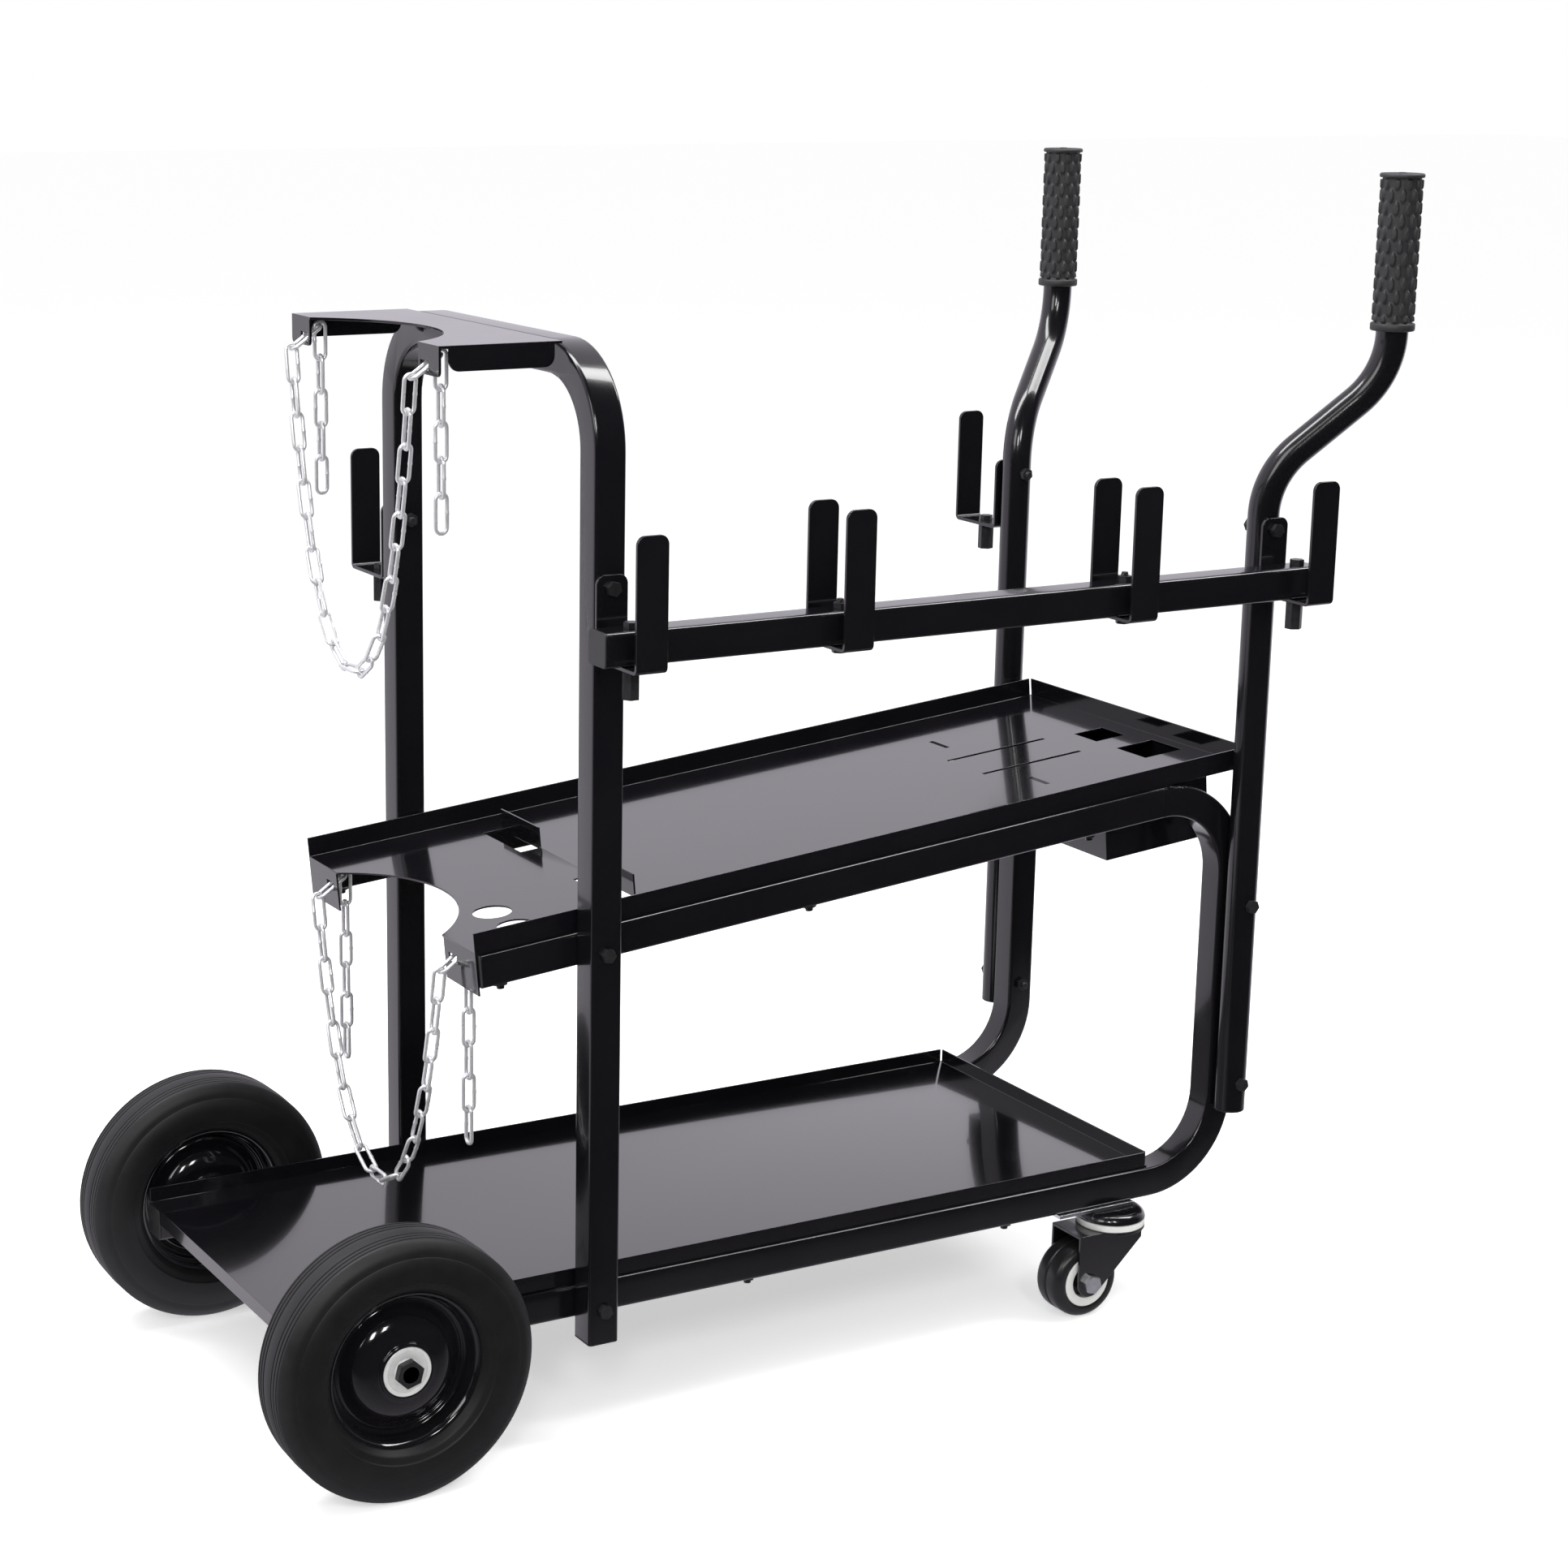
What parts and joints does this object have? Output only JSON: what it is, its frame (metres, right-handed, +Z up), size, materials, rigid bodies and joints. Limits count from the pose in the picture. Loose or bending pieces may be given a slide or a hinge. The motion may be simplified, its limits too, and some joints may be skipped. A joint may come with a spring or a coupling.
{
  "type": "welding cart",
  "caption": "Black steel welding cart: sloped upper tray, lower tray, arch and bracket with chains for a gas bottle, cable rail with hooks, splayed handles, wheels and casters.",
  "frame": {"origin": "on the floor, under the middle of the overall box", "axes": "+X along the cart from the rear wheels and the gas bottle's end towards the handles and casters, +Y across towards the side without the rail, +Z up"},
  "size_m": [0.975, 0.489, 0.94],
  "materials": {
    "frame_paint": "gloss black powder coat",
    "tray_paint": "high gloss black powder coat",
    "grip_rubber": "matt textured rubber",
    "plug_plastic": "matt moulded plastic",
    "black_fasteners": "black oxide, satin",
    "steel": "turned steel, satin",
    "tyre_rubber": "solid black rubber, matt",
    "rim_paint": "gloss black paint",
    "bearing_steel": "bright ground steel",
    "zinc": "zinc plated, satin",
    "caster_paint": "black plated, satin gloss",
    "white_plastic": "moulded white plastic",
    "caster_tread": "black rubber, satin",
    "chain_zinc": "zinc plated, bright"
  },
  "bodies": {
    "cart": {"arch": "frame_paint", "side_frame_near": "frame_paint", "side_frame_far": "frame_paint", "lower_tray": "tray_paint", "upper_tray": "tray_paint", "tool_pocket": "tray_paint", "bottle_bracket": "frame_paint", "handle_near": "frame_paint", "handle_far": "frame_paint", "grip_near": "grip_rubber", "grip_far": "grip_rubber", "cable_rail": "frame_paint", "rail_hook_bottle_end": "frame_paint", "rail_hook_handle_end": "frame_paint", "arch_hook_near": "frame_paint", "arch_hook_far": "frame_paint", "handle_hook_near": "frame_paint", "handle_hook_far": "frame_paint", "tube_plugs": "plug_plastic", "rail_plugs": "plug_plastic", "arch_bolts": "black_fasteners", "handle_bolts": "black_fasteners", "hook_bolts": "black_fasteners", "hook_pegs": "black_fasteners", "rail_bolts": "black_fasteners", "upper_tray_nuts": "black_fasteners", "lower_tray_nuts": "black_fasteners", "axle": "steel", "axle_spacers": "steel", "axle_nuts": "black_fasteners", "caster_plates": "zinc", "caster_cups": "caster_paint", "upper_anchor_links": "chain_zinc", "lower_anchor_links": "chain_zinc"},
    "wheel_near": {"tyre_near": "tyre_rubber", "rim_near": "rim_paint", "bearings_near": "bearing_steel"},
    "wheel_far": {"tyre_far": "tyre_rubber", "rim_far": "rim_paint", "bearings_far": "bearing_steel"},
    "caster_fork_near_body": {"caster_fork_near": "caster_paint", "caster_ring_near": "white_plastic", "caster_axle_near": "zinc"},
    "caster_fork_far_body": {"caster_fork_far": "caster_paint", "caster_ring_far": "white_plastic", "caster_axle_far": "zinc"},
    "caster_wheel_near": {"caster_tread_near": "caster_tread", "caster_core_near": "white_plastic"},
    "caster_wheel_far": {"caster_tread_far": "caster_tread", "caster_core_far": "white_plastic"},
    "upper_loop": {"upper_chain_loop": "chain_zinc"},
    "upper_tail_near": {"upper_chain_tail_near": "chain_zinc"},
    "upper_tail_far": {"upper_chain_tail_far": "chain_zinc"},
    "lower_loop": {"lower_chain_loop": "chain_zinc"},
    "lower_tail_near": {"lower_chain_tail_near": "chain_zinc"},
    "lower_tail_far": {"lower_chain_tail_far": "chain_zinc"}
  },
  "joints": [
    {"name": "wheel_near_spin", "type": "hinge", "parent": "cart", "child": "wheel_near", "pos_m": [-0.3859, -0.1908, 0.1016], "axis": [0, 1, 0], "continuous": true},
    {"name": "wheel_far_spin", "type": "hinge", "parent": "cart", "child": "wheel_far", "pos_m": [-0.3859, 0.1908, 0.1016], "axis": [0, 1, 0], "continuous": true},
    {"name": "caster_near_swivel", "type": "hinge", "parent": "cart", "child": "caster_fork_near_body", "pos_m": [0.2885, -0.1521, 0.077], "axis": [0, 0, 1], "continuous": true},
    {"name": "caster_near_roll", "type": "hinge", "parent": "caster_fork_near_body", "child": "caster_wheel_near", "pos_m": [0.2554, -0.1521, 0.03175], "axis": [0, 1, 0], "continuous": true},
    {"name": "caster_far_swivel", "type": "hinge", "parent": "cart", "child": "caster_fork_far_body", "pos_m": [0.2885, 0.1521, 0.077], "axis": [0, 0, 1], "continuous": true},
    {"name": "caster_far_roll", "type": "hinge", "parent": "caster_fork_far_body", "child": "caster_wheel_far", "pos_m": [0.2554, 0.1521, 0.03175], "axis": [0, 1, 0], "continuous": true},
    {"name": "upper_loop_swing", "type": "hinge", "parent": "cart", "child": "upper_loop", "pos_m": [-0.33118, 0, 0.80337], "axis": [0, 1, 0], "range_deg": [-5, 60]},
    {"name": "lower_loop_swing", "type": "hinge", "parent": "cart", "child": "lower_loop", "pos_m": [-0.31331, 0, 0.36605], "axis": [0, 1, 0], "range_deg": [-5, 60]},
    {"name": "upper_tail_near_swing", "type": "hinge", "parent": "cart", "child": "upper_tail_near", "pos_m": [-0.30742, -0.10705, 0.82], "axis": [0, 1, 0], "range_deg": [-45, 5]},
    {"name": "lower_tail_near_swing", "type": "hinge", "parent": "cart", "child": "lower_tail_near", "pos_m": [-0.28956, -0.11274, 0.38268], "axis": [0, 1, 0], "range_deg": [-45, 5]},
    {"name": "upper_tail_far_swing", "type": "hinge", "parent": "cart", "child": "upper_tail_far", "pos_m": [-0.30742, 0.10705, 0.82], "axis": [0, 1, 0], "range_deg": [-45, 5]},
    {"name": "lower_tail_far_swing", "type": "hinge", "parent": "cart", "child": "lower_tail_far", "pos_m": [-0.28956, 0.11274, 0.38268], "axis": [0, 1, 0], "range_deg": [-45, 5]}
  ]
}
